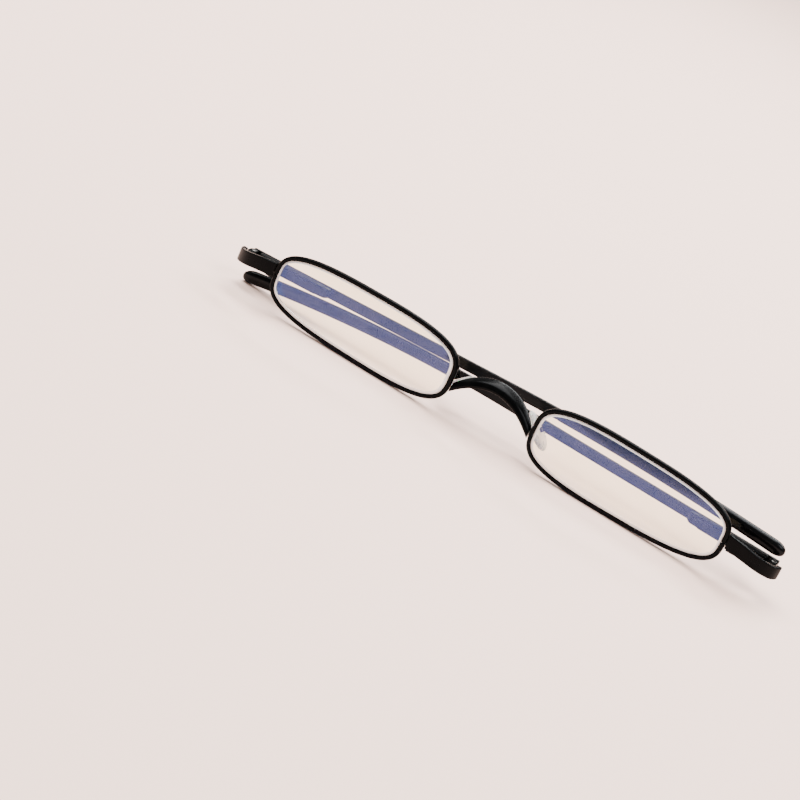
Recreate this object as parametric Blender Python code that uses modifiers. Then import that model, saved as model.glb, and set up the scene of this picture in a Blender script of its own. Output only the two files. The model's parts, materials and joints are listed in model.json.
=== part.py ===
"""Folding reading glasses, folded and standing on the lower edges of their rims.

Sizes are in millimetres, in the front's own axes: x across, y backwards and z up, with the middle of
the rims at the origin. place() and placed() turn them into the object's frame, in metres, which has
its origin under the middle of the whole object.
"""

import math

import bmesh
import bpy
from mathutils import Matrix, Vector

MM = 0.001
Y_MIDDLE = 4.615
Z_BOTTOM = -9.314
GAP = 0.12

# Rims: the centre line is a rounded oblong, slightly taller at the nose.
RIM_X = 36.87
RIM_HALF_WIDTH = 25.33
RIM_HALF_HEIGHT = 8.69
RIM_POWER_X = 2.95
RIM_POWER_Z = 3.5
RIM_TAPER = 0.049
RIM_RADIAL = 0.56
RIM_DEPTH = 0.75
RIM_STEPS = 72
GROOVE_DEPTH = 0.42

LENS_EDGE = RIM_RADIAL + GAP
LENS_HALF = 0.7
LENS_BULGE = 0.85

BLOCK_X = 64.25
BLOCK_Y = 2.05

# Hinges. Each axis leans sideways a little, so that the left temple folds above the right one.
HINGE = (73.0, 7.5, -1.8)
LEAN = {"left": math.radians(3.08), "right": math.radians(0.2)}
KNUCKLE_RADIUS = 1.05
FORK_HALF = 1.4
SLOT_HALF = 0.5
EYE_HALF = 0.38
PIN_HOLE = 0.52

# Temples, measured from the hinge along the folded temple, and backwards from it.
STRIP_START = -0.9
STRIP_END = 86.0
STRIP_MIDDLE = 2.0
STRIP_HALF_DEPTH = 0.5
STRIP_HALF_HEIGHT = 1.3
CORE_END = 143.6
CORE_HALF_HEIGHT = 0.8
CORE_HALF_DEPTH = 0.4
TIP_START = 86.15
TIP_END = 147.0
TIP_HALF_DEPTH = 1.3
BEND = {"left": (72.0, 0.00078), "right": (72.0, 0.00118)}
HOUSING_START = 1.8
HOUSING_END = 22.0
BORE_DEPTH = 0.5
BORE_RADIUS = 0.7
BORE_END = 19.6
ROD_RADIUS = 0.32
COIL_RADIUS = 0.49
COIL_WIRE = 0.09
COIL_TURNS = 8

BRIDGE_HALF = 10.8
ARCH = 0.046

PAD_CENTRE = (11.2, 4.8, -1.8)
PAD_DOWN = (7.2, -0.3, -6.8)
PAD_WIDE = (0.1, 1.0, 0.0)
PAD_HALF_LENGTH = 4.9
PAD_HALF_WIDTH = 2.6
PAD_HALF_THICK = 0.7
PAD_PIVOT = 1.7


# Building blocks


def clear_scene():
    for thing in list(bpy.data.objects):
        bpy.data.objects.remove(thing)


def material(name, colour, roughness, metallic):
    made = bpy.data.materials.new(name)
    made.use_nodes = True
    shader = made.node_tree.nodes["Principled BSDF"]
    shader.inputs["Base Color"].default_value = (*colour, 1.0)
    shader.inputs["Roughness"].default_value = roughness
    shader.inputs["Metallic"].default_value = metallic
    return made


def place(point):
    """A point of the front's axes, in the object's frame in metres."""
    return Vector((point[0], point[1] - Y_MIDDLE, point[2] - Z_BOTTOM)) * MM


def placed(frame):
    """A millimetre frame of the front's axes, as a world matrix in metres."""
    world = frame.to_3x3().to_4x4()
    world.translation = place(frame.translation)
    return world


def axes(x_axis, y_axis, z_axis, origin):
    """A frame from its three axes and its origin."""
    frame = Matrix.Identity(4)
    for column, axis in enumerate((x_axis, y_axis, z_axis)):
        frame.col[column] = (*axis, 0)
    frame.col[3] = (*origin, 1)
    return frame


def linked(name, data, where, frame=None):
    made = bpy.data.objects.new(name, data)
    where.objects.link(made)
    if frame:
        made.matrix_world = placed(frame)
        bpy.context.view_layer.update()
    return made


def part(shape, colour, pivot=None):
    """Give a finished shape its material, and hang it on its joint's empty."""
    shape.data.materials.clear()
    shape.data.materials.append(colour)
    if pivot:
        world = shape.matrix_world.copy()
        shape.parent = pivot
        shape.matrix_parent_inverse = pivot.matrix_world.inverted()
        shape.matrix_world = world
    return shape


def smoothed(mesh, degrees):
    mesh.shade_smooth()
    mesh.set_sharp_from_angle(angle=math.radians(degrees))


def loft(name, rings, where=None, degrees=40.0):
    """Skin unlike sections, given as rings of millimetre points, and close both ends."""
    shape = bmesh.new()
    made = [[shape.verts.new(place(point)) for point in ring] for ring in rings]
    count = len(made[0])
    for near, far in zip(made, made[1:]):
        for i in range(count):
            j = (i + 1) % count
            shape.faces.new((near[i], near[j], far[j], far[i]))
    shape.faces.new(list(reversed(made[0])))
    shape.faces.new(made[-1])
    bmesh.ops.recalc_face_normals(shape, faces=shape.faces)
    mesh = bpy.data.meshes.new(name)
    shape.to_mesh(mesh)
    shape.free()
    smoothed(mesh, degrees)
    return linked(name, mesh, where or GLASSES)


def turned(name, profile, frame, where=None, steps=20):
    """Turn (radius, height) points about the frame's Z. The profile runs up from the axis to the axis."""
    mesh = bpy.data.meshes.new(name)
    points = [(0.0, profile[0][1]), *profile, (0.0, profile[-1][1])]
    if profile[0] == profile[-1]:
        points = profile
    verts = [(radius * MM, 0.0, height * MM) for radius, height in points]
    mesh.from_pydata(verts, [(i, i + 1) for i in range(len(verts) - 1)], [])
    made = linked(name, mesh, where or GLASSES, frame)
    screw = made.modifiers.new("turn", "SCREW")
    screw.steps = steps
    screw.render_steps = steps
    screw.use_merge_vertices = True
    screw.merge_threshold = 1e-6
    screw.use_normal_calculate = True
    return as_mesh(made)


def as_mesh(made):
    """Replace a curve, or an object with modifiers, by the welded mesh that it makes."""
    graph = bpy.context.evaluated_depsgraph_get()
    mesh = bpy.data.meshes.new_from_object(made.evaluated_get(graph))
    shape = bmesh.new()
    shape.from_mesh(mesh)
    bmesh.ops.remove_doubles(shape, verts=shape.verts, dist=1e-7)
    bmesh.ops.recalc_face_normals(shape, faces=shape.faces)
    shape.to_mesh(mesh)
    shape.free()
    smoothed(mesh, 35.0)
    name = made.name
    where = made.users_collection[0]
    world = made.matrix_world.copy()
    bpy.data.objects.remove(made)
    solid = linked(name, mesh, where)
    solid.matrix_world = world
    bpy.context.view_layer.update()
    return solid


def prism(name, outline, low, high, frame, where=None):
    """Extrude a flat (x, y) outline from low to high along the frame's Z."""
    curve = bpy.data.curves.new(name, "CURVE")
    curve.dimensions = "2D"
    curve.fill_mode = "BOTH"
    curve.extrude = (high - low) / 2 * MM
    spline = curve.splines.new("POLY")
    spline.points.add(len(outline) - 1)
    for knot, (x, y) in zip(spline.points, outline):
        knot.co = (x * MM, y * MM, 0.0, 1.0)
    spline.use_cyclic_u = True
    middle = frame @ Matrix.Translation((0, 0, (low + high) / 2))
    return as_mesh(linked(name, curve, where or GLASSES, middle))


def wire(name, points, radius, frame, where=None):
    """A round wire through (x, y, z) points."""
    curve = bpy.data.curves.new(name, "CURVE")
    curve.dimensions = "3D"
    curve.bevel_depth = radius * MM
    curve.bevel_resolution = 2
    curve.use_fill_caps = True
    spline = curve.splines.new("POLY")
    spline.points.add(len(points) - 1)
    for knot, point in zip(spline.points, points):
        knot.co = (point[0] * MM, point[1] * MM, point[2] * MM, 1.0)
    return as_mesh(linked(name, curve, where or GLASSES, frame))


def combine(target, helper, operation):
    """Cut helper from target, or join it on. The helper stays as a hidden operand."""
    helper.hide_render = True
    helper.display_type = "WIRE"
    step = target.modifiers.new(operation.lower(), "BOOLEAN")
    step.operation = operation
    step.solver = "EXACT"
    step.object = helper


def cut(target, helper):
    combine(target, helper, "DIFFERENCE")


def fuse(target, helper):
    combine(target, helper, "UNION")


def bore(target, radius, low, high, frame):
    """A round hole along the frame's Z."""
    name = f"{target.name}_bore_{len(target.modifiers)}"
    cut(target, turned(name, [(radius, low), (radius, high)], frame, CUTTERS))


def rectangle(x0, x1, y0, y1):
    return [(x0, y0), (x1, y0), (x1, y1), (x0, y1)]


def arc(radius, start, end, steps):
    """Points of an arc about the origin, with its angles in degrees."""
    angles = [math.radians(angle) for angle in span(start, end, steps)]
    return [(radius * math.cos(angle), radius * math.sin(angle)) for angle in angles]


def span(start, end, steps):
    return [start + (end - start) * i / steps for i in range(steps + 1)]


def chamfered(half_depth, half_height, edge):
    """An eight-sided section as (depth, height) offsets."""
    y, z = half_depth, half_height
    inner_y, inner_z = y - edge, z - edge
    return [
        (-inner_y, -z),
        (inner_y, -z),
        (y, -inner_z),
        (y, inner_z),
        (inner_y, z),
        (-inner_y, z),
        (-y, inner_z),
        (-y, -inner_z),
    ]


def power_curve(angle, power):
    """Cosine and sine of an angle, squared out towards a rectangle."""
    c, s = math.cos(angle), math.sin(angle)
    return math.copysign(abs(c) ** (2 / power[0]), c), math.copysign(abs(s) ** (2 / power[1]), s)


def rounded(half_depth, half_height, count=16):
    """A squared-out oval section as (depth, height) offsets."""
    points = []
    for i in range(count):
        y, z = power_curve(2 * math.pi * (i + 0.5) / count, (2.6, 2.6))
        points.append((half_depth * y, half_height * z))
    return points


def smooth_path(points, steps):
    """A Catmull-Rom path through points, with steps stations from each to the next."""
    path = []
    for i in range(len(points) - 1):
        before = Vector(points[max(i - 1, 0)])
        here = Vector(points[i])
        there = Vector(points[i + 1])
        after = Vector(points[min(i + 2, len(points) - 1)])
        for k in range(steps):
            t = k / steps
            point = 2 * here + (there - before) * t
            point += (2 * before - 5 * here + 4 * there - after) * t**2
            point += (3 * here - before - 3 * there + after) * t**3
            path.append(point / 2)
    path.append(Vector(points[-1]))
    return path


# The front


def rim_outline(side, steps, start=0.0, end=1.0):
    """Evenly spaced (x, z, outward x, outward z) on a rim's centre line, from its outer end."""
    fine = 2880
    dense = []
    for i in range(fine):
        across, rise = power_curve(2 * math.pi * i / fine, (RIM_POWER_X, RIM_POWER_Z))
        x = side * (RIM_X + RIM_HALF_WIDTH * across)
        dense.append((x, RIM_HALF_HEIGHT * rise * (1 - RIM_TAPER * across)))
    lengths = [0.0]
    for i in range(fine):
        here, there = dense[i], dense[(i + 1) % fine]
        lengths.append(lengths[-1] + math.dist(here, there))
    rows = []
    index = 0
    for k in range(steps):
        wanted = lengths[-1] * (start + (end - start) * k / steps)
        while lengths[index + 1] < wanted:
            index += 1
        share = (wanted - lengths[index]) / (lengths[index + 1] - lengths[index])
        here, there = dense[index], dense[(index + 1) % fine]
        x = here[0] + (there[0] - here[0]) * share
        z = here[1] + (there[1] - here[1]) * share
        before, after = dense[index - 3], dense[(index + 4) % fine]
        run = math.dist(before, after)
        outward = (side * (after[1] - before[1]) / run, -side * (after[0] - before[0]) / run)
        rows.append((x, z, *outward))
    return rows


def offset(row, radial, depth):
    """A point beside the rim's centre line, radial outwards and depth backwards."""
    x, z, out_x, out_z = row
    return (x + out_x * radial, depth, z + out_z * radial)


def rim(hand, side):
    """The grooved wire, open by a hair's breadth at its outer end, behind the endpiece."""
    lip = 0.15
    inner = -RIM_RADIAL
    bottom = inner + GROOVE_DEPTH
    half = [
        (inner, 0.36),
        (inner, RIM_DEPTH - lip),
        (inner + lip, RIM_DEPTH),
        (0.22, RIM_DEPTH),
        (0.48, 0.5),
        (RIM_RADIAL, 0.16),
    ]
    section = [(bottom, 0.24), *half]
    section += [(radial, -depth) for radial, depth in reversed(section)]
    opening = 0.0012
    end = 1 - opening + (1 - 2 * opening) / RIM_STEPS
    rings = []
    for row in rim_outline(side, RIM_STEPS + 1, opening, end):
        rings.append([offset(row, radial, depth) for radial, depth in section])
    part(loft(f"{hand}_rim", rings), BLACK)


def lens(hand, side):
    """A thin curved lens whose bevelled edge lies in the rim's groove."""
    outline = rim_outline(side, RIM_STEPS)
    shares = (0.06, 0.3, 0.55, 0.8)
    crown = GROOVE_DEPTH - RIM_RADIAL - 2 * GAP + 0.06
    edge = [
        (-LENS_EDGE - 0.35, -LENS_HALF - 0.1),
        (-LENS_EDGE, -LENS_HALF + 0.1),
        (-LENS_EDGE, -0.3),
        (crown, -0.12),
        (crown, 0.12),
        (-LENS_EDGE, 0.3),
        (-LENS_EDGE, LENS_HALF),
    ]

    def face(share, depth):
        middle = side * RIM_X
        return [(middle + (x - middle) * share, depth, z * share) for x, z, _, _ in outline]

    rings = [face(s, -LENS_HALF - 0.1 - LENS_BULGE * (1 - s**2)) for s in shares]
    for radial, depth in edge:
        rings.append([offset(row, radial, depth) for row in outline])
    rings += [face(s, LENS_HALF - 0.8 * LENS_BULGE * (1 - s**2)) for s in reversed(shares)]
    part(loft(f"{hand}_lens", rings, degrees=30.0), CLEAR)


def endpiece(hand, side):
    """The flat bar from the rim, turned back to the hinge."""
    route = [
        (62.92, 0.0, 0.75),
        (67.0, 0.1, 0.2),
        (71.0, 1.1, -0.7),
        (73.75, 3.2, -1.5),
        (74.85, 5.2, -1.8),
        (74.9, 6.4, -1.85),
    ]
    path = smooth_path(route, 4)
    last = len(path) - 1
    rings = []
    for i, point in enumerate(path):
        ahead = path[min(i + 1, last)] - path[max(i - 1, 0)]
        if i == 0:
            ahead = Vector((1, 0, 0))
        if i == last:
            ahead = Vector((0, 1, 0))
        across = Vector((ahead.y, -ahead.x, 0)).normalized()
        ring = []
        for depth, height in chamfered(0.6, 1.8 - 0.3 * i / last, 0.22):
            spot = point - across * depth
            ring.append((side * spot.x, spot.y, spot.z + height))
        rings.append(ring)
    part(loft(f"{hand}_endpiece", rings), BLACK)


def closing_blocks(hand, side):
    """Two small blocks behind the endpiece, and the screw that draws the rim shut."""
    upright = Matrix.Translation((side * BLOCK_X, BLOCK_Y, 0.0))
    plan = rectangle(-1.1, 1.1, -1.05, 1.0)
    for level, low, high in (("upper", -0.2, 1.25), ("lower", -1.9, -0.35)):
        block = part(prism(f"{hand}_{level}_closing_block", plan, low, high, upright), BLACK)
        bore(block, 0.36, -3, 3, upright)
        if level == "upper":
            bore(block, 0.66, 0.75, 3, upright)
    profile = [(0.16, -1.8), (0.24, -1.7), (0.24, 0.86), (0.54, 0.86), (0.54, 1.1), (0.4, 1.2)]
    part(turned(f"{hand}_closing_screw", profile, upright, steps=14), STEEL)


def bridge():
    """The arched strap between the rims, broad from front to back."""
    rings = []
    for x in span(-BRIDGE_HALF, BRIDGE_HALF, 20):
        middle = 1 - (x / BRIDGE_HALF) ** 4
        slant = math.sqrt(1 + (2 * ARCH * x) ** 2)
        low = 2.35 - ARCH * x**2
        front = -0.62
        back = 1.0 + 2.1 * middle
        thick = 1.4 * slant
        lift = 0.3 * (back - front)
        section = [
            (front + 0.35, low),
            (back - 0.4, low + lift + 0.15),
            (back, low + lift + 0.45 * thick),
            (back - 0.1, low + lift + 0.85 * thick),
            (back - 0.4, low + lift + thick),
            (front + 0.75, low + thick + 0.12 * (back - front)),
            (front + 0.25, low + 0.8 * thick),
            (front, low + 0.45 * thick),
            (front + 0.1, low + 0.12 * thick),
        ]
        rings.append([(x, y, z) for y, z in section])
    part(loft("bridge", rings, degrees=30.0), BLACK)


# The hinges


def arm_frame(hand, side):
    """A folded temple's axes: X along it, Y backwards and Z up its hinge. The right one is mirrored."""
    lean = side * LEAN[hand]
    along = (-side * math.cos(lean), 0, side * math.sin(lean))
    upward = (math.sin(lean), 0, math.cos(lean))
    return axes(along, (0, 1, 0), upward, (side * HINGE[0], HINGE[1], HINGE[2]))


def hinge_frame(hand, side):
    """The same place with a right-handed frame, whose Y runs forwards on the right."""
    frame = arm_frame(hand, side)
    if side > 0:
        frame.col[1] = -frame.col[1]
    return frame


def flipped(outline, side):
    """An outline drawn in a folded temple's axes, for use in hinge_frame."""
    return [(x, -side * y) for x, y in outline]


def rod_frame(hand, side):
    """A right-handed frame on the slider's rod, with Z along it."""
    frame = hinge_frame(hand, side)
    along = Matrix(((0, 0, 1, 0), (1, 0, 0, -side * BORE_DEPTH), (0, 1, 0, 0), (0, 0, 0, 1)))
    return frame @ along


def hinge_leaf(hand, side):
    """The fork on the endpiece, and the screw through it."""
    frame = hinge_frame(hand, side)
    outline = arc(KNUCKLE_RADIUS, 0, 180, 12)
    outline += [(-KNUCKLE_RADIUS, -1.35), (-0.42, -2.9), (0.62, -2.9), (KNUCKLE_RADIUS, -1.8)]
    name = f"{hand}_hinge_leaf"
    leaf = part(prism(name, flipped(outline, side), -FORK_HALF, FORK_HALF, frame), BLACK)
    slot = flipped(rectangle(-2, 2, -1.3, 2), side)
    cut(leaf, prism(f"{name}_slot", slot, -SLOT_HALF, SLOT_HALF, frame, CUTTERS))
    bore(leaf, PIN_HOLE, -3, 3, frame)
    bore(leaf, 0.86, 1.05, 3, frame)
    name = f"{hand}_hinge_screw"
    profile = [(0.3, -1.38), (0.4, -1.28), (0.4, 1.17), (0.72, 1.17), (0.72, 1.42), (0.58, 1.52)]
    screw = part(turned(name, profile, frame), STEEL)
    cross = rectangle(-1.0, 1.0, -0.09, 0.09)
    cut(screw, prism(f"{name}_slot", cross, 1.36, 2.0, frame, CUTTERS))


def slider(hand, side, pivot):
    """The eye between the fork's cheeks, with the headed rod that the spring pulls on."""
    frame = hinge_frame(hand, side)
    name = f"{hand}_hinge_slider"
    eye = part(prism(name, arc(1.0, 0, 345, 23), -EYE_HALF, EYE_HALF, frame), STEEL, pivot)
    profile = [(ROD_RADIUS, 0.75), (ROD_RADIUS, 14.6), (0.58, 14.6), (0.58, 15.3)]
    fuse(eye, turned(f"{name}_rod", profile, rod_frame(hand, side), CUTTERS, 14))
    bore(eye, PIN_HOLE, -3, 3, frame)


# The temples


def droop(hand, s):
    """How far a temple has bent down at s."""
    start, rate = BEND[hand]
    return -rate * max(0.0, s - start) ** 2


def bar(name, stations, frame, where=None, degrees=40.0):
    """Loft (s, depth, height, section) stations along a folded temple."""
    rings = []
    for s, depth, height, section in stations:
        rings.append([frame @ Vector((s, depth + y, height + z)) for y, z in section])
    return loft(name, rings, where, degrees)


def temple_strip(hand, frame, pivot):
    """The flat strip, ending in the narrow core that the tip is pushed over."""
    stations = []
    for s in [STRIP_START, 1.2, 22.0, 26.0, 40.0, *span(58.0, STRIP_END, 8)]:
        section = chamfered(STRIP_HALF_DEPTH, STRIP_HALF_HEIGHT, 0.14)
        stations.append((s, STRIP_MIDDLE, droop(hand, s), section))
    core = chamfered(CORE_HALF_DEPTH, CORE_HALF_HEIGHT, 0.1)
    for s in span(STRIP_END, CORE_END, 12):
        stations.append((s, STRIP_MIDDLE, droop(hand, s), core))
    part(bar(f"{hand}_temple_strip", stations, frame, degrees=30.0), BLACK, pivot)


def temple_tip(hand, frame, pivot):
    """The rounded sleeve, swelling towards its round end, with a socket for the core."""
    mouth = [(0.0, 0.86), (0.5, 0.94), (1.6, 1.0)]
    close = [(2.2, 0.97), (1.1, 0.85), (0.4, 0.62), (0.0, 0.3)]
    places = [(TIP_START + s, share) for s, share in mouth]
    places += [(s, 1.0) for s in span(TIP_START + 6, TIP_END - 4, 10)]
    places += [(TIP_END - s, share) for s, share in close]
    stations = []
    for s, share in places:
        swell = (s - TIP_START) / (TIP_END - TIP_START)
        depth = TIP_HALF_DEPTH * (1 + 0.08 * swell) * share
        height = (1.4 + 0.3 * swell) * share
        stations.append((s, STRIP_MIDDLE, droop(hand, s), rounded(depth, height)))
    name = f"{hand}_temple_tip"
    tip = part(bar(name, stations, frame, degrees=50.0), PLASTIC, pivot)
    hollow = chamfered(CORE_HALF_DEPTH + GAP, CORE_HALF_HEIGHT + GAP, 0.1)
    socket = []
    for s in span(TIP_START - 1.0, CORE_END + 0.3, 13):
        socket.append((s, STRIP_MIDDLE, droop(hand, s), hollow))
    cut(tip, bar(f"{name}_socket", socket, frame, CUTTERS))


def spring_housing(hand, side, frame, pivot):
    """The raised box on the temple's inner face, with its collar and coil spring."""
    back = STRIP_MIDDLE - STRIP_HALF_DEPTH - GAP
    stations = []
    for s, front, half in [
        (HOUSING_START, -0.35, 1.25),
        (HOUSING_START + 0.35, -0.55, 1.4),
        (18.6, -0.55, 1.4),
        (19.0, -0.45, 1.34),
        (HOUSING_END - 0.8, -0.35, 1.3),
        (HOUSING_END, 0.15, 1.1),
    ]:
        section = chamfered((back - front) / 2, half, 0.25)
        stations.append((s, (back + front) / 2, 0.0, section))
    rod = rod_frame(hand, side)
    housing = part(bar(f"{hand}_spring_housing", stations, frame, degrees=30.0), BLACK, pivot)
    bore(housing, BORE_RADIUS, 1.0, BORE_END, rod)
    ring = [(0.45, 2.3), (0.6, 2.3), (0.6, 3.1), (0.45, 3.1), (0.45, 2.3)]
    part(turned(f"{hand}_spring_collar", ring, rod, steps=16), STEEL, pivot)
    start, end, per_turn = 3.35, 14.35, 12
    knots = []
    for i in range(COIL_TURNS * per_turn + 1):
        angle = 2 * math.pi * i / per_turn
        height = start + (end - start) * i / (COIL_TURNS * per_turn)
        knots.append((COIL_RADIUS * math.cos(angle), COIL_RADIUS * math.sin(angle), height))
    part(wire(f"{hand}_hinge_spring", knots, COIL_WIRE, rod), STEEL, pivot)


# The nose pads


def pad_frame(side):
    """A nose pad's pivot, right-handed: X across the pad, Y along it, Z from the pivot to the nose."""
    down = Vector(PAD_DOWN).normalized()
    wide = Vector(PAD_WIDE)
    wide = (wide - down * wide.dot(down)).normalized()
    face = -down.cross(wide)
    origin = Vector(PAD_CENTRE) - face * PAD_PIVOT
    mirror = Matrix.Diagonal((side, 1, 1))
    wide, down, face, origin = (mirror @ vector for vector in (wide, down, face, origin))
    return axes(wide, face.cross(wide), face, origin)


def pivot_frame(frame):
    """The pad's pivot with Z along its screw, X along the pad and Y away from the nose."""
    return frame @ Matrix(((0, 0, 1, 0), (-1, 0, 0, 0), (0, -1, 0, 0), (0, 0, 0, 1)))


def nose_pad(hand, frame, pivot):
    """The silicone teardrop, with the tab that its screw goes through."""
    name = f"{hand}_nose_pad"
    rings = []
    for level, share in [(-1.0, 0.72), (-0.67, 0.93), (0.0, 1.0), (0.6, 0.93), (1.0, 0.6)]:
        ring = []
        for angle in span(0, 2 * math.pi, 32)[:-1]:
            along = PAD_HALF_LENGTH * math.sin(angle)
            # Narrower towards its upper end, which is the inner one.
            up = math.copysign(1, frame.col[1].z) * math.sin(angle)
            width = PAD_HALF_WIDTH * math.cos(angle) * (1 - 0.2 * up)
            height = PAD_PIVOT + level * PAD_HALF_THICK
            ring.append(frame @ Vector((width * share, along * share, height)))
        rings.append(ring)
    pad = part(loft(name, rings, degrees=60.0), SILICONE, pivot)
    screw = pivot_frame(frame)
    tab = arc(0.62, 0, 180, 10) + [(-0.62, -1.2), (0.62, -1.2)]
    fuse(pad, prism(f"{name}_tab", tab, -0.35, 0.35, screw, CUTTERS))
    bore(pad, 0.34, -3, 3, screw)


def pad_arm(hand, side, frame):
    """The wire from the back of the rim, and the box that the pad rocks in."""
    screw = pivot_frame(frame)
    name = f"{hand}_pad_arm"
    arm = part(prism(name, rectangle(-0.62, 0.62, -0.62, 1.25), -0.92, 0.92, screw), BLACK)
    cut(arm, prism(f"{name}_slot", rectangle(-2, 2, -2, 0.8), -0.5, 0.5, screw, CUTTERS))
    box = frame @ Vector((0, 0, -1.0))
    behind = frame @ Vector((0, 0, -1.9))
    root = (side * 11.75, 1.33, 3.1)
    route = [root, (side * 11.65, 1.34, 2.0), (side * 12.1, 1.8, 1.2), behind, box]
    knots = smooth_path(route, 5)
    fuse(arm, wire(f"{name}_wire", knots, 0.42, Matrix.Identity(4), CUTTERS))
    bore(arm, 0.34, -3, 3, screw)
    profile = [(0.2, -0.95), (0.2, 1.04), (0.45, 1.04), (0.38, 1.3)]
    part(turned(f"{hand}_pad_screw", profile, screw, steps=14), STEEL)


def empty(name, frame):
    """An empty on a joint's axis, which the moving pieces hang on."""
    made = linked(name, None, GLASSES, frame)
    made.empty_display_size = 2 * MM
    return made


def build_side(hand, side):
    rim(hand, side)
    lens(hand, side)
    endpiece(hand, side)
    closing_blocks(hand, side)
    hinge_leaf(hand, side)
    arm = arm_frame(hand, side)
    temple_axis = empty(f"{hand}_temple_axis", hinge_frame(hand, side))
    slider(hand, side, temple_axis)
    spring_housing(hand, side, arm, temple_axis)
    temple_strip(hand, arm, temple_axis)
    temple_tip(hand, arm, temple_axis)
    pad = pad_frame(side)
    pad_arm(hand, side, pad)
    nose_pad(hand, pad, empty(f"{hand}_pad_axis", pad))


clear_scene()
GLASSES = bpy.data.collections.new("folding_reading_glasses")
CUTTERS = bpy.data.collections.new("cutters")
CUTTERS.hide_render = True
bpy.context.scene.collection.children.link(GLASSES)
bpy.context.scene.collection.children.link(CUTTERS)
BLACK = material("black_painted_metal", (0.012, 0.012, 0.013), 0.25, 0.0)
PLASTIC = material("black_gloss_plastic", (0.01, 0.01, 0.011), 0.18, 0.0)
CLEAR = material("coated_clear_lens", (0.75, 0.8, 0.95), 0.03, 0.0)
SILICONE = material("clear_silicone", (0.85, 0.85, 0.84), 0.35, 0.0)
STEEL = material("dark_steel", (0.2, 0.2, 0.2), 0.35, 1.0)

bridge()
build_side("left", -1)
build_side("right", 1)
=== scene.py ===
"""Looks for the folding reading glasses: fine meshes, materials, floor, light and camera."""

import json
import math

import bmesh
import bpy
from mathutils import Matrix, Vector


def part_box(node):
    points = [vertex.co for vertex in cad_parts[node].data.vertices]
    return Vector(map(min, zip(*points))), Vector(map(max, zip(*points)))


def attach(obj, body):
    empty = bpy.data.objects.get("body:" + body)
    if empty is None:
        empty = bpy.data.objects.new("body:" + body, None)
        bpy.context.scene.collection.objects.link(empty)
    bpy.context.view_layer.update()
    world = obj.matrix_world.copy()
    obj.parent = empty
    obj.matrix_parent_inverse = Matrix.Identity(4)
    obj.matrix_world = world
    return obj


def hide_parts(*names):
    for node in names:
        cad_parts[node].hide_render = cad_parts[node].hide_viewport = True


MM = 0.001

# The front's outline, as the CAD draws it. Sizes come from the frame's boxes below.
RIM_POWER_X = 2.95
RIM_POWER_Z = 3.5
RIM_TAPER = 0.049
RIM_RADIAL = 0.56 * MM
RIM_STEPS = 220
# The share of the outline at each side of the slit that the closing blocks draw together.
RIM_SLIT = 0.0012

# The lens, in millimetres: how far its edge and crown are from the rim's centre line, and its bulge.
LENS_EDGE = -0.68
LENS_CROWN = -0.3
LENS_BULGE = 0.85

# The folded temples: distances along each from its hinge, and depths behind the hinge's axis.
STRIP_START = -0.9 * MM
STRIP_END = 86.0 * MM
TIP_START = 86.15 * MM
TIP_END = 147.0 * MM
# Where each temple starts to bend down, and how fast, per metre.
BEND = {"left": (72.0 * MM, 0.78), "right": (72.0 * MM, 1.18)}
STRIP_MIDDLE = 2.0 * MM
STRIP_HALF = 0.5 * MM
# The temples' base colour is lightened, a painted sheen, nearer the middle of the object; it fades in between
# these distances from the middle.
PAINTED_SHEEN_FROM = 50.5 * MM
PAINTED_SHEEN_WHOLE = 49.5 * MM

# The bridge's arch, per millimetre.
ARCH = 0.046

# The camera's place from the front's middle, in metres, and its turn in degrees.
CAMERA_FROM_FRONT = Vector((0.13567, -0.48155, 0.18026))
CAMERA_AZIMUTH = 18.0
CAMERA_ELEVATION = 20.71
CAMERA_ROLL = 24.755
CAMERA_LENS = 103.5


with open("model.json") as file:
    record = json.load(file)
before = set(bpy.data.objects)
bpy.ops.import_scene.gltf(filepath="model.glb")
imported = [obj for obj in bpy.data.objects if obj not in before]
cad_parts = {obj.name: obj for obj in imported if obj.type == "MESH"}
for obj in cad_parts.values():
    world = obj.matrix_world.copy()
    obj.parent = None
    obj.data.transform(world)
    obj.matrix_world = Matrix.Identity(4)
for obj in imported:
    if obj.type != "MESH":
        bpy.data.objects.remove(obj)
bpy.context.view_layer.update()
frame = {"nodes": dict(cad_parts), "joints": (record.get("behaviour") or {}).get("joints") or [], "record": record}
record = frame["record"]
joints = {joint["name"]: joint for joint in frame["joints"]}

rim_low, rim_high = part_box("right_rim")
RIM_X = (rim_low.x + rim_high.x) / 2
RIM_HALF_W = (rim_high.x - rim_low.x) / 2 - RIM_RADIAL
RIM_HALF_H = 8.69 * MM
RIM_Y = (rim_low.y + rim_high.y) / 2
RIM_Z = (rim_low.z + rim_high.z) / 2


# Node helpers


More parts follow.
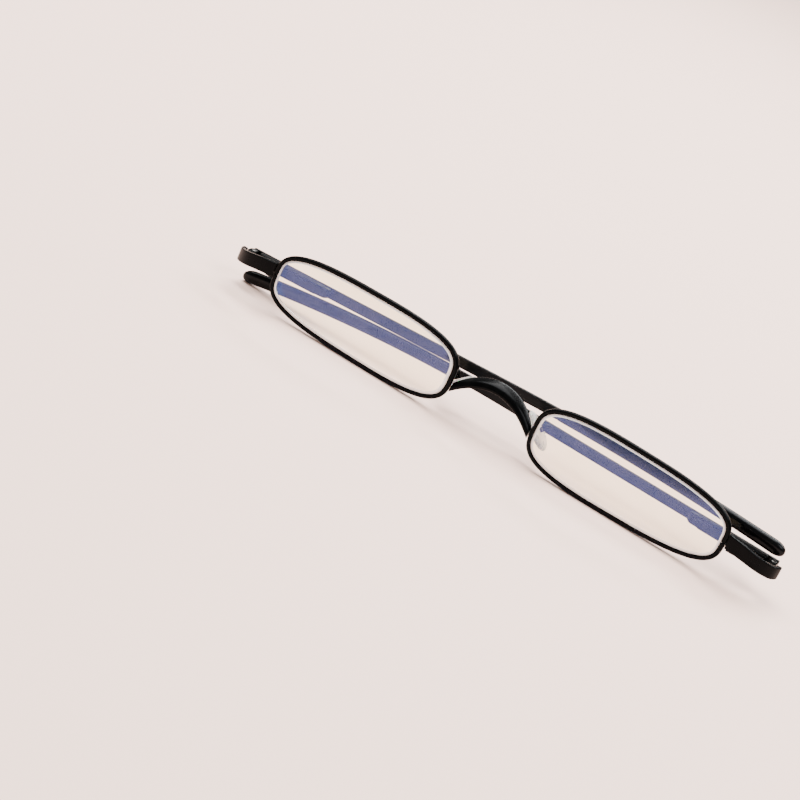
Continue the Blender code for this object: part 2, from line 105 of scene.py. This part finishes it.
class Nodes:
    """A material's node tree, with short ways to add and join nodes."""

    def __init__(self, name):
        self.material = bpy.data.materials.new(name)
        self.material.use_nodes = True
        self.tree = self.material.node_tree
        self.shader = self.tree.nodes["Principled BSDF"]
        self.output = self.tree.nodes["Material Output"]
        coords = self.add("ShaderNodeTexCoord")
        self.place = coords.outputs["Object"]

    def add(self, kind, **settings):
        node = self.tree.nodes.new(kind)
        for key, value in settings.items():
            setattr(node, key, value)
        return node

    def join(self, source, target):
        self.tree.links.new(source, target)

    def noise(self, scale, detail=4.0, roughness=0.55, stretch=None, distortion=0.0):
        node = self.add("ShaderNodeTexNoise")
        node.inputs["Scale"].default_value = scale
        node.inputs["Detail"].default_value = detail
        node.inputs["Roughness"].default_value = roughness
        node.inputs["Distortion"].default_value = distortion
        place = self.place
        if stretch:
            mapping = self.add("ShaderNodeMapping")
            mapping.inputs["Scale"].default_value = stretch
            self.join(place, mapping.inputs["Vector"])
            place = mapping.outputs["Vector"]
        self.join(place, node.inputs["Vector"])
        return node.outputs["Fac"]

    def span(self, source, low, high, out_low, out_high):
        node = self.add("ShaderNodeMapRange")
        node.inputs["From Min"].default_value = low
        node.inputs["From Max"].default_value = high
        node.inputs["To Min"].default_value = out_low
        node.inputs["To Max"].default_value = out_high
        self.join(source, node.inputs["Value"])
        return node.outputs["Result"]

    def colours(self, source, first, second, low=0.3, high=0.7):
        node = self.add("ShaderNodeValToRGB")
        node.color_ramp.elements[0].position = low
        node.color_ramp.elements[0].color = (*first, 1)
        node.color_ramp.elements[1].position = high
        node.color_ramp.elements[1].color = (*second, 1)
        self.join(source, node.inputs["Fac"])
        return node.outputs["Color"]

    def mixed(self, factor, first, second):
        node = self.add("ShaderNodeMix", data_type="RGBA")
        self.join(factor, node.inputs["Factor"])
        self.join(first, node.inputs["A"])
        node.inputs["B"].default_value = (*second, 1)
        return node.outputs["Result"]

    def bump(self, source, strength, distance, under=None):
        node = self.add("ShaderNodeBump")
        node.inputs["Strength"].default_value = strength
        node.inputs["Distance"].default_value = distance
        self.join(source, node.inputs["Height"])
        if under:
            self.join(under, node.inputs["Normal"])
        return node.outputs["Normal"]

    def edges(self, low=0.52, high=0.62):
        """Bright where the surface is convex, for worn edges."""
        geometry = self.add("ShaderNodeNewGeometry")
        return self.span(geometry.outputs["Pointiness"], low, high, 0.0, 1.0)

    def set(self, **values):
        for key, value in values.items():
            name = key.replace("_", " ")
            if isinstance(value, bpy.types.NodeSocket):
                self.join(value, self.shader.inputs[name])
            else:
                self.shader.inputs[name].default_value = value


def black_paint():
    """Glossy black enamel over steel: faint orange peel, dust and rubbed edges."""
    nodes = Nodes("black_paint")
    cloud = nodes.noise(380, 3)
    fine = nodes.noise(5200, 2)
    base = nodes.colours(cloud, (0.0006, 0.0007, 0.0008), (0.0016, 0.0017, 0.0018), 0.35, 0.7)
    worn = nodes.add("ShaderNodeMath", operation="MULTIPLY")
    nodes.join(nodes.edges(0.56, 0.72), worn.inputs[0])
    nodes.join(nodes.span(nodes.noise(900, 5), 0.5, 0.75, 0.0, 0.55), worn.inputs[1])
    nodes.set(
        Base_Color=nodes.mixed(worn.outputs[0], base, (0.009, 0.0095, 0.01)),
        Roughness=nodes.span(cloud, 0.3, 0.7, 0.2, 0.34),
        Normal=nodes.bump(fine, 0.12, 0.00002, nodes.bump(cloud, 0.05, 0.0001)),
        Specular_IOR_Level=0.035,
        Specular_Tint=(0.8, 0.9, 1.0, 1.0),
        Coat_Weight=0.02,
        Coat_Roughness=0.05,
    )
    return nodes.material


def temple_paint():
    """The temples' black paint, brushed lengthwise, with a painted sheen beyond the spring housing: a lighter base
    colour standing in for reflected light.
    """
    nodes = Nodes("temple_paint")
    brushed = nodes.noise(900, 3, stretch=(0.04, 1.0, 1.0))
    cloud = nodes.noise(300, 3)
    base = nodes.colours(cloud, (0.0006, 0.0007, 0.0008), (0.0016, 0.0017, 0.0018), 0.35, 0.7)
    worn = nodes.add("ShaderNodeMath", operation="MULTIPLY")
    nodes.join(nodes.edges(0.55, 0.7), worn.inputs[0])
    nodes.join(nodes.span(nodes.noise(700, 5), 0.45, 0.7, 0.1, 0.7), worn.inputs[1])
    across = nodes.add("ShaderNodeSeparateXYZ")
    nodes.join(nodes.place, across.inputs[0])
    far = nodes.add("ShaderNodeMath", operation="ABSOLUTE")
    nodes.join(across.outputs["X"], far.inputs[0])
    # Painted sheen: nearer the middle than these distances, beyond the spring housing, the base colour is
    # lightened to stand in for the light the paint reflects there.
    painted_sheen = nodes.span(far.outputs[0], PAINTED_SHEEN_WHOLE, PAINTED_SHEEN_FROM, 1.0, 0.0)
    face = nodes.mixed(painted_sheen, base, (0.0048, 0.0053, 0.0058))
    nodes.set(
        Base_Color=nodes.mixed(worn.outputs[0], face, (0.016, 0.017, 0.018)),
        Roughness=nodes.span(brushed, 0.3, 0.7, 0.24, 0.36),
        Normal=nodes.bump(brushed, 0.05, 0.00003),
        Specular_IOR_Level=0.06,
        Specular_Tint=(0.8, 0.9, 1.0, 1.0),
        Coat_Weight=0.03,
        Coat_Roughness=0.1,
    )
    return nodes.material


def tip_plastic():
    """Polished black acetate with hair scratches and a soft mottle."""
    nodes = Nodes("tip_plastic")
    cloud = nodes.noise(260, 4)
    scratch = nodes.noise(2600, 4, 0.7, stretch=(0.06, 1.0, 1.0), distortion=0.3)
    nodes.set(
        Base_Color=nodes.colours(cloud, (0.0008, 0.0008, 0.001), (0.002, 0.002, 0.002), 0.35, 0.7),
        Roughness=nodes.span(scratch, 0.35, 0.75, 0.16, 0.3),
        Normal=nodes.bump(scratch, 0.06, 0.00002, nodes.bump(cloud, 0.05, 0.0002)),
        Specular_IOR_Level=0.08,
        Specular_Tint=(0.8, 0.9, 1.0, 1.0),
        Coat_Weight=0.05,
        Coat_Roughness=0.04,
    )
    return nodes.material


def steel():
    """Darkened steel, with tool marks and faint tarnish."""
    nodes = Nodes("dark_steel")
    marks = nodes.noise(6000, 2, stretch=(1.0, 1.0, 0.15))
    cloud = nodes.noise(700, 4)
    nodes.set(
        Base_Color=nodes.colours(cloud, (0.06, 0.06, 0.06), (0.14, 0.137, 0.133), 0.3, 0.7),
        Metallic=1.0,
        Roughness=nodes.span(marks, 0.3, 0.7, 0.2, 0.38),
        Normal=nodes.bump(marks, 0.1, 0.00001),
    )
    return nodes.material


def coated_lens():
    """Clear lens whose coating mirrors blue-violet and lets the rest through, with faint smears."""
    nodes = Nodes("coated_lens")
    smear = nodes.noise(120, 5, 0.6, stretch=(1.0, 1.0, 2.2), distortion=0.8)
    clear = nodes.add("ShaderNodeBsdfTransparent")
    tint = nodes.colours(smear, (0.97, 0.94, 0.80), (0.98, 0.95, 0.82), 0.3, 0.7)
    nodes.join(tint, clear.inputs["Color"])
    gloss = nodes.add("ShaderNodeBsdfGlossy")
    mirror = nodes.colours(smear, (0.017, 0.026, 0.078), (0.026, 0.034, 0.09), 0.3, 0.7)
    nodes.join(mirror, gloss.inputs["Color"])
    nodes.join(nodes.span(smear, 0.3, 0.75, 0.09, 0.13), gloss.inputs["Roughness"])
    both = nodes.add("ShaderNodeAddShader")
    nodes.join(clear.outputs[0], both.inputs[0])
    nodes.join(gloss.outputs[0], both.inputs[1])
    glare = nodes.add("ShaderNodeBsdfGlossy")
    glare.inputs["Color"].default_value = (0.9, 0.92, 1.0, 1)
    glare.inputs["Roughness"].default_value = 0.03
    fresnel = nodes.add("ShaderNodeFresnel")
    fresnel.inputs["IOR"].default_value = 1.5
    steep = nodes.add("ShaderNodeMixShader")
    nodes.join(nodes.span(fresnel.outputs["Fac"], 0.06, 1.0, 0.0, 0.9), steep.inputs[0])
    nodes.join(both.outputs[0], steep.inputs[1])
    nodes.join(glare.outputs[0], steep.inputs[2])
    lamp_way = nodes.add("ShaderNodeBsdfTransparent")
    lamp_way.inputs["Color"].default_value = (0.95, 0.95, 0.95, 1)
    path = nodes.add("ShaderNodeLightPath")
    mix = nodes.add("ShaderNodeMixShader")
    nodes.join(path.outputs["Is Shadow Ray"], mix.inputs[0])
    nodes.join(steep.outputs[0], mix.inputs[1])
    nodes.join(lamp_way.outputs[0], mix.inputs[2])
    nodes.join(mix.outputs[0], nodes.output.inputs["Surface"])
    nodes.tree.nodes.remove(nodes.shader)
    return nodes.material


def lens_edge():
    """The ground, frosted bevel round the lens."""
    nodes = Nodes("lens_edge")
    grain = nodes.noise(5000, 3)
    cloud = nodes.noise(500, 3)
    nodes.set(
        Base_Color=nodes.colours(cloud, (0.90, 0.90, 0.91), (0.98, 0.98, 0.98), 0.3, 0.7),
        Roughness=nodes.span(grain, 0.3, 0.7, 0.2, 0.42),
        Normal=nodes.bump(grain, 0.2, 0.00001),
        Transmission_Weight=0.1,
        IOR=1.5,
    )
    return nodes.material


def silicone():
    """Soft clear silicone, a little cloudy, with a moulded grain."""
    nodes = Nodes("silicone")
    cloud = nodes.noise(500, 4)
    grain = nodes.noise(4200, 3)
    nodes.set(
        Base_Color=nodes.colours(cloud, (0.78, 0.77, 0.75), (0.93, 0.92, 0.91), 0.3, 0.7),
        Roughness=nodes.span(cloud, 0.3, 0.7, 0.22, 0.36),
        Normal=nodes.bump(grain, 0.08, 0.00002),
        Transmission_Weight=0.7,
        IOR=1.41,
        Subsurface_Weight=0.15,
        Subsurface_Scale=0.001,
    )
    return nodes.material


def floor_paper():
    """Warm pale paper with a faint tooth."""
    nodes = Nodes("floor_paper")
    cloud = nodes.noise(6, 3)
    grain = nodes.noise(1500, 2)
    nodes.set(
        Base_Color=nodes.colours(cloud, (0.98, 0.71, 0.61), (0.99, 0.72, 0.62), 0.3, 0.7),
        Roughness=nodes.span(grain, 0.3, 0.7, 0.65, 0.8),
        Normal=nodes.bump(grain, 0.03, 0.00005),
    )
    return nodes.material


# Mesh helpers


def loft(name, rings, finish, smooth=38.0):
    """Skin rings of points, cap both ends, and make it a shaded object."""
    shape = bmesh.new()
    made = [[shape.verts.new(point) for point in ring] for ring in rings]
    count = len(made[0])
    for near, far in zip(made, made[1:]):
        for i in range(count):
            j = (i + 1) % count
            shape.faces.new((near[i], near[j], far[j], far[i]))
    shape.faces.new(list(reversed(made[0])))
    shape.faces.new(made[-1])
    bmesh.ops.recalc_face_normals(shape, faces=shape.faces)
    mesh = bpy.data.meshes.new(name)
    shape.to_mesh(mesh)
    shape.free()
    mesh.shade_smooth()
    mesh.set_sharp_from_angle(angle=math.radians(smooth))
    mesh.materials.append(finish)
    made = bpy.data.objects.new(name, mesh)
    bpy.context.scene.collection.objects.link(made)
    return made


def stands_for(piece, node, body):
    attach(piece, body)
    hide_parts(node)
    return piece


def round_section(half_y, half_z, radius, steps=5):
    """A rounded rectangle as (depth, height) offsets."""
    points = []
    for quarter, (sy, sz) in enumerate(((1, 1), (-1, 1), (-1, -1), (1, -1))):
        for k in range(steps + 1):
            angle = math.radians(90 * (quarter + k / steps))
            y = sy * (half_y - radius) + radius * math.cos(angle)
            z = sz * (half_z - radius) + radius * math.sin(angle)
            points.append((y, z))
    return points


def superellipse(half_y, half_z, power, count):
    points = []
    for i in range(count):
        angle = 2 * math.pi * (i + 0.5) / count
        c, s = math.cos(angle), math.sin(angle)
        y = half_y * math.copysign(abs(c) ** (2 / power), c)
        z = half_z * math.copysign(abs(s) ** (2 / power), s)
        points.append((y, z))
    return points


def span(start, end, steps):
    return [start + (end - start) * i / steps for i in range(steps + 1)]


def hermite(points, steps):
    """A smooth path through points, with steps stations between each two."""
    path = []
    for i in range(len(points) - 1):
        a = Vector(points[max(i - 1, 0)])
        b = Vector(points[i])
        c = Vector(points[i + 1])
        d = Vector(points[min(i + 2, len(points) - 1)])
        for k in range(steps):
            t = k / steps
            curve = 2 * b + (c - a) * t
            curve += (2 * a - 5 * b + 4 * c - d) * t**2
            curve += (3 * b - a - 3 * c + d) * t**3
            path.append(0.5 * curve)
    path.append(Vector(points[-1]))
    return path


def front(x, y, z):
    """A millimetre point of the front, measured from the middle of the rims, in metres."""
    return Vector((x * MM, RIM_Y + y * MM, RIM_Z + z * MM))


# The front


def rim_outline(side, steps, start=0.0, end=1.0):
    """Evenly spaced (x, z, nx, nz) round a rim's centre line, from its outer end."""
    fine = 2880
    dense = []
    for i in range(fine):
        angle = 2 * math.pi * i / fine
        c, s = math.cos(angle), math.sin(angle)
        unit = math.copysign(abs(c) ** (2 / RIM_POWER_X), c)
        rise = math.copysign(abs(s) ** (2 / RIM_POWER_Z), s)
        x = side * (RIM_X + RIM_HALF_W * unit)
        dense.append((x, RIM_Z + RIM_HALF_H * rise * (1 - RIM_TAPER * unit)))
    lengths = [0.0]
    for i in range(fine):
        a, b = dense[i], dense[(i + 1) % fine]
        lengths.append(lengths[-1] + math.hypot(b[0] - a[0], b[1] - a[1]))
    rows = []
    index = 0
    for k in range(steps):
        wanted = lengths[-1] * (start + (end - start) * k / steps)
        while lengths[index + 1] < wanted:
            index += 1
        share = (wanted - lengths[index]) / (lengths[index + 1] - lengths[index])
        a, b = dense[index], dense[(index + 1) % fine]
        x = a[0] + (b[0] - a[0]) * share
        z = a[1] + (b[1] - a[1]) * share
        before, after = dense[index - 12], dense[(index + 13) % fine]
        dx, dz = after[0] - before[0], after[1] - before[1]
        size = math.hypot(dx, dz)
        rows.append((x, z, side * dz / size, -side * dx / size))
    return rows


def rim(hand, side, finish):
    """The eyewire: a rounded back, flat lips and the groove that holds the lens."""
    half = [
        (-0.14, 0.26),
        (-0.56, 0.38),
        (-0.56, 0.60),
        (-0.53, 0.69),
        (-0.45, 0.74),
        (-0.34, 0.75),
        (0.05, 0.75),
        (0.25, 0.72),
        (0.40, 0.62),
        (0.50, 0.45),
        (0.55, 0.22),
        (0.56, 0.07),
    ]
    section = half + [(r, -y) for r, y in reversed(half)]
    rings = []
    last = RIM_STEPS + 1
    end = 1 - RIM_SLIT + (1 - 2 * RIM_SLIT) / RIM_STEPS
    for x, z, nx, nz in rim_outline(side, last, RIM_SLIT, end):
        ring = []
        for r, y in section:
            ring.append((x + nx * r * MM, RIM_Y + y * MM, z + nz * r * MM))
        rings.append(ring)
    piece = loft(f"{hand}_eyewire", rings, finish)
    return stands_for(piece, f"{hand}_rim", "front")


def lens(hand, side, finish, edge_finish):
    """A curved lens: polished faces, and a ground bevel that is widest below and at the nose."""
    outline = rim_outline(side, RIM_STEPS)
    middle = side * RIM_X

    def inner(width):
        rows = []
        for x, z, nx, nz in outline:
            seen = 0.5 - 0.32 * nz - 0.18 * side * nx
            inset = (LENS_EDGE - width * (0.4 + 0.6 * seen)) * MM
            rows.append((x + nx * inset, z + nz * inset))
        return rows

    def face_rings(width, depth, bulge, shares):
        edge = inner(width)
        for share in shares:
            y = RIM_Y + (depth - bulge * (1 - share**2)) * MM
            ring = []
            for x, z in edge:
                ring.append((middle + (x - middle) * share, y, RIM_Z + (z - RIM_Z) * share))
            rings.append(ring)

    rings = []
    face_rings(0.8, -0.8, LENS_BULGE, span(0.04, 1.0, 9))
    ground_from = len(rings) - 1
    bevel = [
        (LENS_EDGE, -0.45),
        (LENS_EDGE, -0.3),
        (LENS_CROWN, -0.12),
        (LENS_CROWN, 0.12),
        (LENS_EDGE, 0.3),
        (LENS_EDGE, 0.5),
    ]
    for r, y in bevel:
        ring = []
        for x, z, nx, nz in outline:
            ring.append((x + nx * r * MM, RIM_Y + y * MM, z + nz * r * MM))
        rings.append(ring)
    ground_to = len(rings) - 1
    face_rings(0.12, 0.7, LENS_BULGE * 0.8, span(1.0, 0.04, 9))
    piece = loft(f"{hand}_lens_glass", rings, finish, smooth=30.0)
    piece.data.materials.append(edge_finish)
    count = len(outline)
    for face in piece.data.polygons:
        if ground_from * count <= face.index < ground_to * count:
            face.material_index = 1
    return stands_for(piece, f"{hand}_lens", "front")


def endpiece(hand, side, finish):
    """The flat bar from the rim, turned back to the hinge, with eased edges."""
    route = [
        (62.92, 0.0, 0.75),
        (67.0, 0.1, 0.2),
        (71.0, 1.1, -0.7),
        (73.75, 3.2, -1.5),
        (74.85, 5.2, -1.8),
        (74.9, 6.4, -1.85),
    ]
    path = hermite(route, 12)
    last = len(path) - 1
    rings = []
    for i, point in enumerate(path):
        ahead = path[min(i + 1, last)] - path[max(i - 1, 0)]
        if i == 0:
            ahead = Vector((1, 0, 0))
        if i == last:
            ahead = Vector((0, 1, 0))
        across = Vector((ahead.y, -ahead.x, 0)).normalized()
        ring = []
        for depth, height in round_section(0.6, 1.8 - 0.3 * i / last, 0.26):
            spot = point - across * depth
            ring.append(front(side * spot.x, spot.y, spot.z + height))
        rings.append(ring)
    piece = loft(f"{hand}_end_bar", rings, finish, smooth=50.0)
    return stands_for(piece, f"{hand}_endpiece", "front")


def bridge(finish):
    """The arched strap, broad from front to back and drawn in at the rims."""
    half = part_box("bridge")[1].x / MM
    rings = []
    for x in span(-half, half, 72):
        middle = 1 - (x / half) ** 4
        stretch = math.sqrt(1 + (2 * ARCH * x) ** 2)
        low = 2.35 - ARCH * x**2
        near = -0.62
        back = 1.0 + 2.1 * middle
        thick = 1.4 * stretch
        lift = 0.3 * (back - near)
        corners = [
            (near + 0.35, low),
            (back - 0.4, low + lift + 0.15),
            (back, low + lift + 0.45 * thick),
            (back - 0.1, low + lift + 0.85 * thick),
            (back - 0.4, low + lift + thick),
            (near + 0.75, low + thick + 0.12 * (back - near)),
            (near + 0.25, low + 0.80 * thick),
            (near, low + 0.45 * thick),
            (near + 0.1, low + 0.12 * thick),
        ]
        rings.append([front(x, y, z) for y, z in eased(corners, 0.22)])
    piece = loft("bridge_strap", rings, finish, smooth=40.0)
    return stands_for(piece, "bridge", "front")


def eased(corners, share):
    """Cut each corner of an outline twice, so that it shades as a rounded edge."""
    for _ in range(2):
        cut = []
        for i, (y, z) in enumerate(corners):
            ny, nz = corners[(i + 1) % len(corners)]
            cut.append((y + (ny - y) * share, z + (nz - z) * share))
            cut.append((ny - (ny - y) * share, nz - (nz - z) * share))
        corners = cut
    return corners


# The temples


def arm_frame(hand):
    """Local frame of a folded temple: X along it, Y backwards, Z up its hinge's axis."""
    hinge = joints[f"{hand}_temple_hinge"]
    slide = joints[f"{hand}_spring_slide"]
    up = Vector(hinge["axis"])
    if up.z < 0:
        up = -up
    turned = Matrix.Identity(4)
    turned.col[0] = (*slide["axis"], 0)
    turned.col[1] = (0, 1, 0, 0)
    turned.col[2] = (*up, 0)
    turned.col[3] = (*hinge["pos_m"], 1)
    return turned


def droop(hand, s):
    """How far a temple has bent down at s."""
    start, rate = BEND[hand]
    return -rate * max(0.0, s - start) ** 2


def bar(name, stations, place, finish, smooth=40.0):
    rings = []
    for s, depth, height, section in stations:
        rings.append([place @ Vector((s, depth + y, height + z)) for y, z in section])
    return loft(name, rings, finish, smooth=smooth)


def strip(hand, place, finish):
    """The flat temple, with eased edges and the core that the tip is pushed over."""
    stations = []
    for s in [STRIP_START, STRIP_START + 0.12 * MM] + span(1.2 * MM, STRIP_END, 40):
        less = 0.1 * MM if s == STRIP_START else 0.0
        section = round_section(STRIP_HALF - less, 1.3 * MM - less, 0.16 * MM)
        stations.append((s, STRIP_MIDDLE, droop(hand, s), section))
    core = round_section(0.4 * MM, 0.8 * MM, 0.1 * MM)
    for s in span(STRIP_END, 143.6 * MM, 30):
        stations.append((s, STRIP_MIDDLE, droop(hand, s), core))
    piece = bar(f"{hand}_temple_bar", stations, place, finish, 45.0)
    return stands_for(piece, f"{hand}_temple_strip", f"{hand}_temple")


def tip(hand, place, finish):
    """The plastic sleeve: rolled mouth, a slight swell and a round end."""
    mouth = [(0.0, 0.55), (0.02, 0.88), (0.25, 0.94), (0.8, 0.98), (1.8, 1.0)]
    places = [(TIP_START + s * MM, share) for s, share in mouth]
    places += [(s, 1.0) for s in span(TIP_START + 3 * MM, TIP_END - 3.2 * MM, 36)]
    for angle in (math.radians(90 * k / 11.6) for k in range(1, 12)):
        places.append((TIP_END - 3.0 * MM * (1 - math.sin(angle)), math.cos(angle) ** 0.8))
    stations = []
    for s, share in places:
        swell = (s - TIP_START) / (TIP_END - TIP_START)
        depth = 1.3 * (1 + 0.08 * swell) * share * MM
        height = (1.4 + 0.3 * swell) * share * MM
        stations.append((s, STRIP_MIDDLE, droop(hand, s), superellipse(depth, height, 2.6, 40)))
    piece = bar(f"{hand}_tip_sleeve", stations, place, finish, 60.0)
    return stands_for(piece, f"{hand}_temple_tip", f"{hand}_temple")


def housing(hand, place, finish):
    """The raised spring box on the temple's inner face, stepped at its far end."""
    high = 1.38
    stations = []
    for s, low, half in [
        (1.8, -0.30, 1.20),
        (1.9, -0.45, 1.33),
        (2.2, -0.55, 1.40),
        (18.4, -0.55, 1.40),
        (18.7, -0.50, 1.38),
        (19.0, -0.42, 1.32),
        (20.8, -0.36, 1.30),
        (21.4, -0.15, 1.24),
        (22.0, 0.45, 1.05),
    ]:
        section = round_section((high - low) / 2 * MM, half * MM, 0.3 * MM)
        stations.append((s * MM, (high + low) / 2 * MM, 0.0, section))
    piece = bar(f"{hand}_spring_box", stations, place, finish, 35.0)
    return stands_for(piece, f"{hand}_spring_housing", f"{hand}_temple")


# The nose pads


def pad_frame(hand, side):
    """X across the pad, Y down it, Z from the pivot to the nose."""
    rock = joints[f"{hand}_pad_rock"]
    wide = Vector(rock["axis"])
    down = Vector((side * 7.2, -0.3, -6.8))
    down = (down - wide * down.dot(wide)).normalized()
    face = down.cross(wide)
    if face.x * side > 0:
        face = -face
    turned = Matrix.Identity(4)
    for column, axis in enumerate((wide, down, face)):
        turned.col[column] = (*axis, 0)
    turned.col[3] = (*rock["pos_m"], 1)
    return turned


def nose_pad(hand, side, finish):
    """A teardrop of silicone: crowned face and rolled rim."""
    place = pad_frame(hand, side)
    rings = []
    for level, share in [
        (-0.7, 0.25),
        (-0.7, 0.6),
        (-0.63, 0.78),
        (-0.42, 0.92),
        (-0.1, 0.99),
        (0.15, 1.0),
        (0.38, 0.95),
        (0.54, 0.84),
        (0.65, 0.62),
        (0.7, 0.3),
    ]:
        ring = []
        for i in range(72):
            angle = 2 * math.pi * i / 72
            along = 4.9 * math.sin(angle)
            width = 2.6 * math.cos(angle) * (1 + 0.2 * math.sin(angle))
            ring.append(place @ (Vector((width * share, along * share, 1.7 + level)) * MM))
        rings.append(ring)
    pad = loft(f"{hand}_pad_silicone", rings, finish, smooth=70.0)
    return stands_for(pad, f"{hand}_nose_pad", f"{hand}_pad")


# Stage


def stage_floor(finish):
    shape = bmesh.new()
    bmesh.ops.create_grid(shape, x_segments=2, y_segments=2, size=3.0)
    mesh = bpy.data.meshes.new("floor")
    shape.to_mesh(mesh)
    shape.free()
    mesh.materials.append(finish)
    made = bpy.data.objects.new("floor", mesh)
    made.location = (0, 0, -0.00003)
    bpy.context.scene.collection.objects.link(made)


def area_light(name, spot, size, power, colour=(1, 1, 1), size_y=None):
    """A soft lamp that faces the object's middle."""
    lamp = bpy.data.lights.new(name, "AREA")
    lamp.shape = "RECTANGLE"
    lamp.size = size
    lamp.size_y = size_y or size
    lamp.energy = power
    lamp.color = colour
    made = bpy.data.objects.new(name, lamp)
    made.location = spot
    made.rotation_euler = (-Vector(spot)).to_track_quat("-Z", "Y").to_euler()
    bpy.context.scene.collection.objects.link(made)
    return made


def lights():
    world = bpy.data.worlds.new("studio")
    world.use_nodes = True
    shade = world.node_tree.nodes["Background"]
    shade.inputs["Color"].default_value = (1.0, 0.975, 0.96, 1)
    shade.inputs["Strength"].default_value = 0.42
    bpy.context.scene.world = world
    area_light("key", (-0.3, 0.2, 0.95), 0.9, 31.0, (1.0, 0.965, 0.94))
    area_light("fill", (0.6, -0.3, 0.8), 0.5, 10.0, (1.0, 0.97, 0.95))
    area_light("back_strip", (0.1, 0.75, 0.55), 0.9, 11.0, (1, 1, 1), size_y=0.16)


def camera():
    azimuth = math.radians(CAMERA_AZIMUTH)
    elevation = math.radians(CAMERA_ELEVATION)
    roll = math.radians(CAMERA_ROLL)
    forward = Vector(
        (
            -math.sin(azimuth) * math.cos(elevation),
            math.cos(azimuth) * math.cos(elevation),
            -math.sin(elevation),
        )
    )
    level = Vector((math.cos(azimuth), math.sin(azimuth), 0))
    above = level.cross(forward)
    right = level * math.cos(roll) + above * math.sin(roll)
    up = -level * math.sin(roll) + above * math.cos(roll)
    lens_data = bpy.data.cameras.new("camera")
    lens_data.lens = CAMERA_LENS
    lens_data.sensor_width = 36
    lens_data.clip_start = 0.01
    made = bpy.data.objects.new("camera", lens_data)
    turned = Matrix.Identity(4)
    for column, axis in enumerate((right, up, -forward)):
        turned.col[column] = (*axis, 0)
    turned.col[3] = (*(Vector((0, RIM_Y, RIM_Z)) + CAMERA_FROM_FRONT), 1)
    made.matrix_world = turned
    bpy.context.scene.collection.objects.link(made)
    bpy.context.scene.camera = made


def dress_cad(paint, metal):
    """Give every CAD node that still shows its finish."""
    finishes = {"black_paint": paint, "dark_steel": metal}
    slots = {part["node"]: part["material_slot"] for part in record["subparts"]}
    for name, node in frame["nodes"].items():
        finish = finishes.get(slots[name])
        if finish:
            node.data.materials.clear()
            node.data.materials.append(finish)
            node.data.shade_smooth()
            node.data.set_sharp_from_angle(angle=math.radians(35))


camera()
PAINT = black_paint()
ARM_PAINT = temple_paint()
STEEL = steel()
TIP = tip_plastic()
LENS = coated_lens()
EDGE = lens_edge()
PAD = silicone()
dress_cad(PAINT, STEEL)
bridge(PAINT)
for HAND, SIDE in (("left", -1), ("right", 1)):
    rim(HAND, SIDE, PAINT)
    lens(HAND, SIDE, LENS, EDGE)
    endpiece(HAND, SIDE, PAINT)
    ARM = arm_frame(HAND)
    strip(HAND, ARM, ARM_PAINT)
    tip(HAND, ARM, TIP)
    housing(HAND, ARM, ARM_PAINT)
    nose_pad(HAND, SIDE, PAD)
stage_floor(floor_paper())
lights()
